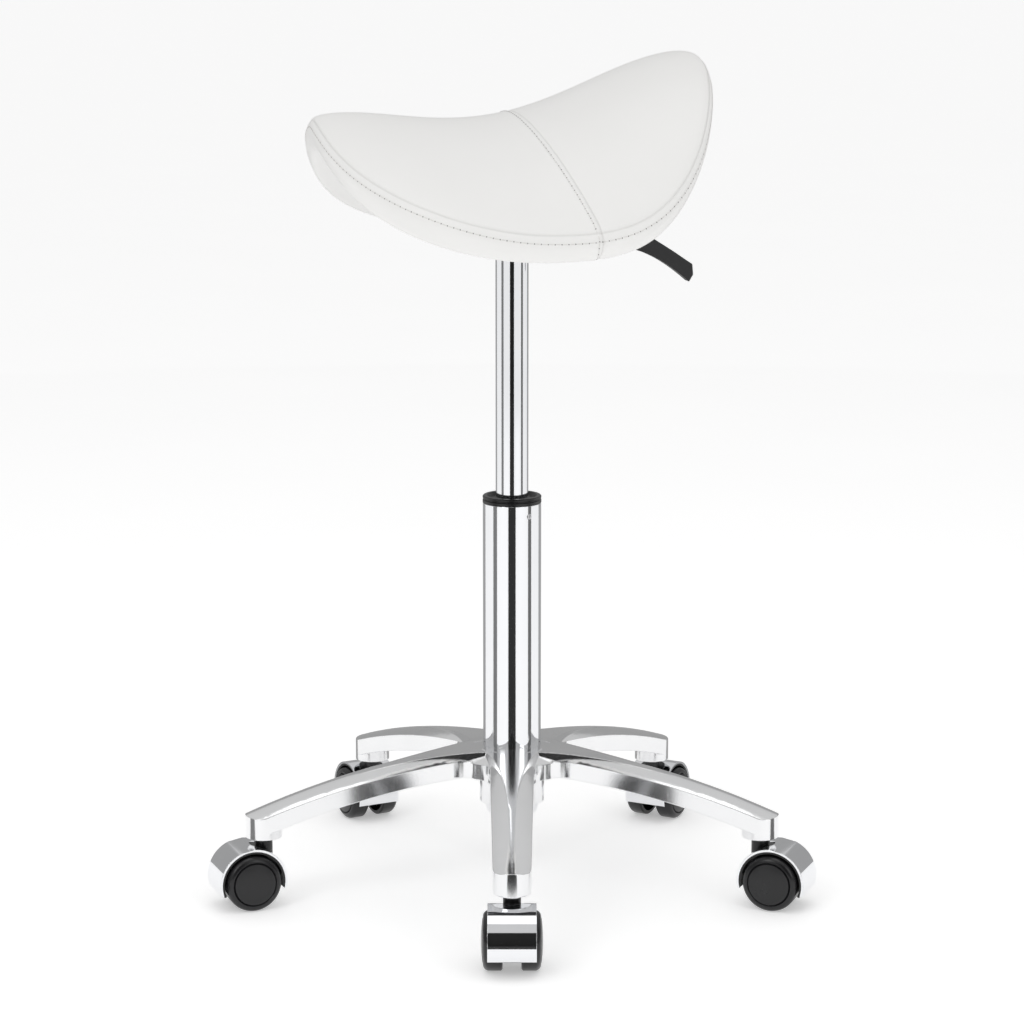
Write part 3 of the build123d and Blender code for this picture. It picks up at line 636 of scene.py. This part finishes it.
def dustSheet():
    verts, faces = [], []
    for k in range(dust["turns"]):
        edge, out = seatEdge(2 * math.pi * k / dust["turns"])
        outer = edge - out * dust["inset"]
        c, s = outer.normalized()
        reach = (abs(c) / dust["openX"]) ** dust["corner"] + (abs(s) / dust["openY"]) ** dust["corner"]
        inner = Vector((c, s)) * reach ** (-1 / dust["corner"])
        for row in range(dust["rows"] + 1):
            t = row / dust["rows"]
            spot = outer.lerp(inner, t)
            depth = seatDepth(*spot)
            over = depth * (dust["overLeather"] - 1)
            drop = depth + dust["clear"] + (over - dust["clear"]) * max(0, 1 - 2.5 * t)
            sag = dust["sag"] * math.sin(math.pi * t)
            verts.append(Vector((*spot, seatTop(*spot) - drop - sag)) * mm)
    ring = dust["rows"] + 1
    for k in range(dust["turns"]):
        here, there = k * ring, (k + 1) % dust["turns"] * ring
        for row in range(dust["rows"]):
            faces.append((here + row, here + row + 1, there + row + 1, there + row))
    piece = newPiece("dustSheet", verts, faces, dustCloth)
    cloth = piece.modifiers.new("thickness", "SOLIDIFY")
    cloth.thickness = dust["thick"] * mm
    cloth.offset = 0
    return applied(piece)


dustPiece = dustSheet()
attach(dustPiece, "seat")
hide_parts("dust_cover")
print("dust sheet:", len(dustPiece.data.polygons), "faces")


# stitches and needle holes, sizes in mm
stitch = {
    "pitch": 5.4,
    "length": 3.9,
    "width": 0.75,
    "height": 0.42,
    "hole": 0.55,
    "below": 8.4,  # band row, under the seat's edge
    "beside": -4.4,  # cross row, from the seam
    "crossReach": 184,
}


def threadMesh():
    # one stitch along X: a strand that dips into its holes at both ends
    verts, faces = [], []
    rings, sides = 7, 6
    for r in range(rings):
        t = r / (rings - 1) * 2 - 1
        swell = max(0.25, math.sqrt(1 - 0.9 * t * t))
        for k in range(sides):
            turn = 2 * math.pi * k / sides
            y = stitch["width"] / 2 * swell * math.cos(turn)
            z = stitch["height"] * (swell * (0.55 + 0.45 * math.sin(turn)) - 0.5 * t**4)
            verts.append((t * stitch["length"] / 2 * mm, y * mm, z * mm))
    for r in range(rings - 1):
        for k in range(sides):
            nxt = (k + 1) % sides
            faces.append((r * sides + k, r * sides + nxt, (r + 1) * sides + nxt, (r + 1) * sides + k))
    faces.append(tuple(range(sides))[::-1])
    faces.append(tuple((rings - 1) * sides + k for k in range(sides)))
    return newPiece("threadPattern", verts, faces, stitchThread)


def holeMesh():
    # needle hole halfway between two stitches: a small dished dot, coloured dark as painted shade inside
    # the hole
    verts = [(stitch["pitch"] / 2 * mm, 0, 0.02 * mm)]
    sides = 8
    for radius, height in ((0.6, 0.05), (1.0, 0.16)):
        size = stitch["hole"] * radius
        for k in range(sides):
            turn = 2 * math.pi * k / sides
            x = stitch["pitch"] / 2 + size * math.cos(turn)
            verts.append((x * mm, size * math.sin(turn) * mm, height * mm))
    faces = []
    for k in range(sides):
        here, there = 1 + k, 1 + (k + 1) % sides
        faces.append((0, here, there))
        faces.append((here, here + sides, there + sides, there))
    return newPiece("holePattern", verts, faces, stitchHoleShade)


def sewingTree():
    # Geometry Nodes: one pattern repeated along a path, standing on the surface the path carries
    tree = bpy.data.node_groups.new("sewing", "GeometryNodeTree")
    tree.interface.new_socket("Geometry", in_out="INPUT", socket_type="NodeSocketGeometry")
    tree.interface.new_socket("Pitch", in_out="INPUT", socket_type="NodeSocketFloat")
    tree.interface.new_socket("Pattern", in_out="INPUT", socket_type="NodeSocketObject")
    tree.interface.new_socket("Material", in_out="INPUT", socket_type="NodeSocketMaterial")
    tree.interface.new_socket("Geometry", in_out="OUTPUT", socket_type="NodeSocketGeometry")
    g = Graph(tree)
    given = g.add("NodeGroupInput")
    curve = g.add("GeometryNodeMeshToCurve", {}, {"Mesh": given})
    spacing = {"Curve": curve, "Length": given.out("Pitch")}
    even = g.add("GeometryNodeResampleCurve", {"mode": "LENGTH"}, spacing)
    up = g.add("GeometryNodeInputNamedAttribute", {"data_type": "FLOAT_VECTOR"}, {"Name": "lay"})
    along = g.add("GeometryNodeInputTangent")
    facing = g.add(
        "FunctionNodeAxesToRotation",
        {"primary_axis": "Z", "secondary_axis": "X"},
        {"Primary Axis": up, "Secondary Axis": along},
    )
    pattern = g.add("GeometryNodeObjectInfo", {}, {"Object": given.out("Pattern")}).out("Geometry")
    copies = g.add(
        "GeometryNodeInstanceOnPoints",
        {},
        {"Points": even, "Instance": pattern, "Rotation": facing},
    )
    real = g.add("GeometryNodeRealizeInstances", {}, {"Geometry": copies})
    painted = g.add("GeometryNodeSetMaterial", {}, {"Geometry": real, "Material": given.out("Material")})
    g.add("NodeGroupOutput", {}, {"Geometry": painted})
    return tree


sewing = sewingTree()
skin = BVHTree.FromObject(seatCover, bpy.context.evaluated_depsgraph_get())


def onSkin(origin, direction):
    place, normal, _, _ = skin.ray_cast(Vector(origin) * mm, Vector(direction))
    return (place, normal) if place else None


def bandSpot(turn, drop):
    edge, out = seatEdge(turn)
    height = seatTop(*(edge - out * 2)) - drop
    return onSkin((edge.x + out.x * 40, edge.y + out.y * 40, height), (-out.x, -out.y, 0))


def sewPath(name, spots, closed, pattern, material):
    spots = [spot for spot in spots if spot]
    mesh = bpy.data.meshes.new(name)
    links = [(k, k + 1) for k in range(len(spots) - 1)]
    if closed:
        links.append((len(spots) - 1, 0))
    mesh.from_pydata([place for place, _ in spots], links, [])
    lay = mesh.attributes.new("lay", "FLOAT_VECTOR", "POINT")
    lay.data.foreach_set("vector", [c for _, normal in spots for c in normal])
    piece = bpy.data.objects.new(name, mesh)
    scene.collection.objects.link(piece)
    modifier = piece.modifiers.new("sewing", "NODES")
    modifier.node_group = sewing
    setInput(modifier, "Pitch", stitch["pitch"] * mm)
    setInput(modifier, "Pattern", pattern)
    setInput(modifier, "Material", material)
    applied(piece)
    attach(piece, "seat")


def seamSpots(shift):
    # over the seat from one side to the other, down the band at both ends
    spots, ends = [], []
    for sign in (-1, 1):
        turn = min(
            (math.radians(k / 4) for k in range(-360, 361)),
            key=lambda t: abs(seamGap(*seatEdge(t if sign > 0 else math.pi - t)[0]) - shift),
        )
        turn = turn if sign > 0 else math.pi - turn
        ends.append([bandSpot(turn, drop) for drop in (20, 17, 14, 11, 8, 5.5)])
    for k in range(-stitch["crossReach"], stitch["crossReach"] + 1, 4):
        y = seam["start"] + seam["bow"] * k * k + shift
        spots.append(onSkin((k, y, 900), (0, 0, -1)))
    return ends[0] + spots + ends[1][::-1]


thread, hole = threadMesh(), holeMesh()
rows = {
    "bandStitch": ([bandSpot(2 * math.pi * k / 400, stitch["below"]) for k in range(400)], True),
    "seamStitch": (seamSpots(stitch["beside"]), False),
}
for name, (spots, closed) in rows.items():
    sewPath(name, spots, closed, thread, stitchThread)
    sewPath(name + "Holes", spots, closed, hole, stitchHoleShade)
for pattern in (thread, hole):
    bpy.data.objects.remove(pattern)
print("stitching done")


# camera: metres, bearing in degrees, pitch in radians
camera = {"distance": 2.4293, "height": 0.780, "pitch": 0.1846, "bearing": -12.5, "lens": 101.337890625}
lens = bpy.data.cameras.new("camera")
eye = bpy.data.objects.new("camera", lens)
scene.collection.objects.link(eye)
lens.sensor_width = 36.0
lens.lens = camera["lens"]
bearing = math.radians(camera["bearing"])
away = camera["distance"]
eye.location = (away * math.cos(bearing), away * math.sin(bearing), camera["height"])
eye.rotation_euler = (math.pi / 2 - camera["pitch"], 0, bearing + math.pi / 2)
scene.camera = eye

# studio: how bright the sky is with height, and the pale floor's own glow and half size in metres
studioLook = {
    "sky": [(0.0, 0.6), (0.25, 0.85), (0.7, 1.0)],
    "skyStrength": 0.66,
    "floorGlow": 0.37,
    "floorReach": 90.0,
}
scene.view_settings.view_transform = "Standard"
studio = bpy.data.worlds.new("studio")
scene.world = studio
studio.use_nodes = True
sky = Graph(studio.node_tree)
rise = sky.add("ShaderNodeSeparateXYZ", {}, {"Vector": sky.add("ShaderNodeTexCoord")}).out("Z")
shade = sky.add("ShaderNodeValToRGB", {"stops": studioLook["sky"]}, {"Fac": rise})
backdrop = studio.node_tree.nodes["Background"]
studio.node_tree.links.new(shade.socket, backdrop.inputs["Color"])
backdrop.inputs["Strength"].default_value = studioLook["skyStrength"]

floorPaint = Finish("floorPaint", (0.9, 0.9, 0.9), 0.7)
patches = floorPaint.noise(floorPaint.place(), 2)
floorPaint.set("Base Color", floorPaint.blend(patches, (0.89, 0.89, 0.89), (0.91, 0.91, 0.91)))
floorPaint.set("Emission Color", (1, 1, 1, 1))
floorPaint.set("Emission Strength", studioLook["floorGlow"])
floorPaint.set("Roughness", 0.66 + patches * 0.08)
reach = studioLook["floorReach"]
corners = [(-reach, -reach, 0), (reach, -reach, 0), (reach, reach, 0), (-reach, reach, 0)]
floor = newPiece("floor", corners, [(0, 1, 2, 3)], floorPaint.material, False)


def softbox(name, turned, height, distance, width, tall, power):
    lamp = bpy.data.lights.new(name, "AREA")
    lamp.shape = "RECTANGLE"
    lamp.size = width
    lamp.size_y = tall
    lamp.energy = power
    holder = bpy.data.objects.new(name, lamp)
    scene.collection.objects.link(holder)
    turn = bearing + math.radians(turned)
    holder.location = (distance * math.cos(turn), distance * math.sin(turn), height)
    aim = Vector((0, 0, 0.4)) - holder.location
    holder.rotation_euler = aim.to_track_quat("-Z", "Y").to_euler()


def reflectionCard(name, turned, halfAngle, near, distance, high, brightness):
    # only the polished metal sees it: a strip of floor that ends in an upright
    paint = Finish(name, (brightness,) * 3, 1.0)
    paint.set("Emission Color", (1, 1, 1, 1))
    paint.set("Emission Strength", brightness)
    paint.set("Base Color", (0, 0, 0, 1))
    verts = []
    for k in range(9):
        turn = bearing + math.radians(turned + halfAngle * (k - 4) / 4)
        for away, height in ((near, 0.002), (distance, 0.002), (distance, high)):
            verts.append((away * math.cos(turn), away * math.sin(turn), height))
    faces = [(3 * k + s, 3 * k + 3 + s, 3 * k + 4 + s, 3 * k + 1 + s) for k in range(8) for s in (0, 1)]
    card = newPiece(name, verts, faces, paint.material, False)
    card.visible_camera = False
    card.visible_diffuse = False
    card.visible_shadow = False
    card.visible_transmission = False


cards = {  # turned from the camera, half its spread, near, far, height, brightness
    "cardCamera": (0, 14.5, 0.42, 3.2, 2.6, 0.01),
    "cardLeftStripe": (-70, 9, 0.3, 3.2, 2.6, 0.2),
    "cardRightStripe": (74, 8, 0.3, 3.2, 2.6, 0.14),
    "cardBack": (180, 50, 0.3, 3.4, 1.5, 0.36),
}
for name, values in cards.items():
    reflectionCard(name, *values)
lamps = {  # turned from the camera, height, distance, width, tall, power
    "keyLight": (-38, 1.9, 2.4, 0.9, 1.6, 9),
    "fillLight": (40, 1.3, 2.6, 0.9, 1.6, 5),
    "topLight": (0, 2.7, 0.3, 1.8, 1.8, 9),
}
for name, values in lamps.items():
    softbox(name, *values)
print("studio set")
